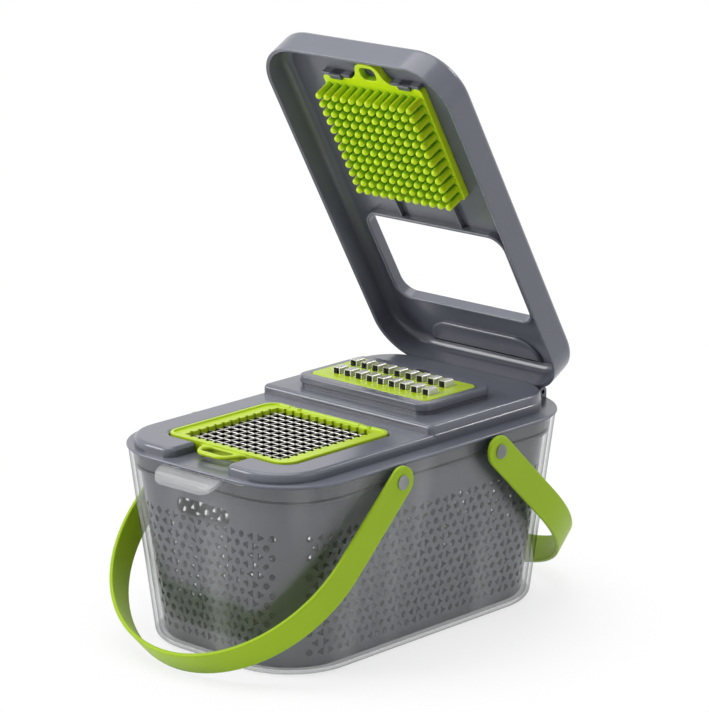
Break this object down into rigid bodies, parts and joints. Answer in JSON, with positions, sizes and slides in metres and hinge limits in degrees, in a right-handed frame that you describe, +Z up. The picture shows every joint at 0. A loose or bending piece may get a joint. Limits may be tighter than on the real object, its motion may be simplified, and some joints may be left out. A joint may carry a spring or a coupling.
{
  "type": "mandoline slicer",
  "caption": "Kitchen slicer and dicer on a clear tub: colander basket, deck with dicing and grating inserts, flip lid with pin press, and swinging strap handles.",
  "frame": {"origin": "centre of the tub's flat underside", "axes": "+X across the width, +Y from the pull tab at the front to the lid hinge at the rear, +Z up"},
  "size_m": [0.1732, 0.309, 0.3448],
  "materials": {
    "clear_plastic": "clear moulded plastic, polished",
    "grey_plastic": "satin moulded plastic, cool grey",
    "lime_plastic": "smooth moulded plastic, lime green",
    "blade_steel": "stainless sheet, brushed"
  },
  "bodies": {
    "base": {"container": "clear_plastic", "colander_basket": "grey_plastic", "top_deck": "grey_plastic", "dice_frame": "lime_plastic", "dice_blades_lengthwise": "blade_steel", "dice_blades_crosswise": "blade_steel", "grater_frame": "lime_plastic", "grater_blade": "blade_steel", "hinge_pins": "blade_steel", "front_handle_studs": "clear_plastic", "rear_handle_studs": "clear_plastic"},
    "lid": {"flip_lid": "grey_plastic", "press_plate": "lime_plastic"},
    "front_strap": {"front_handle": "lime_plastic"},
    "rear_strap": {"rear_handle": "lime_plastic"}
  },
  "joints": [
    {"name": "lid_hinge", "type": "hinge", "parent": "base", "child": "lid", "pos_m": [0, 0.1226, 0.1216], "axis": [1, 0, 0], "range_deg": [0, 60.5]},
    {"name": "front_handle_swing", "type": "hinge", "parent": "base", "child": "front_strap", "pos_m": [0, -0.0427, 0.108], "axis": [-1, 0, 0], "range_deg": [0, 133]},
    {"name": "rear_handle_swing", "type": "hinge", "parent": "base", "child": "rear_strap", "pos_m": [0, 0.0427, 0.108], "axis": [1, 0, 0], "range_deg": [0, 83]}
  ]
}
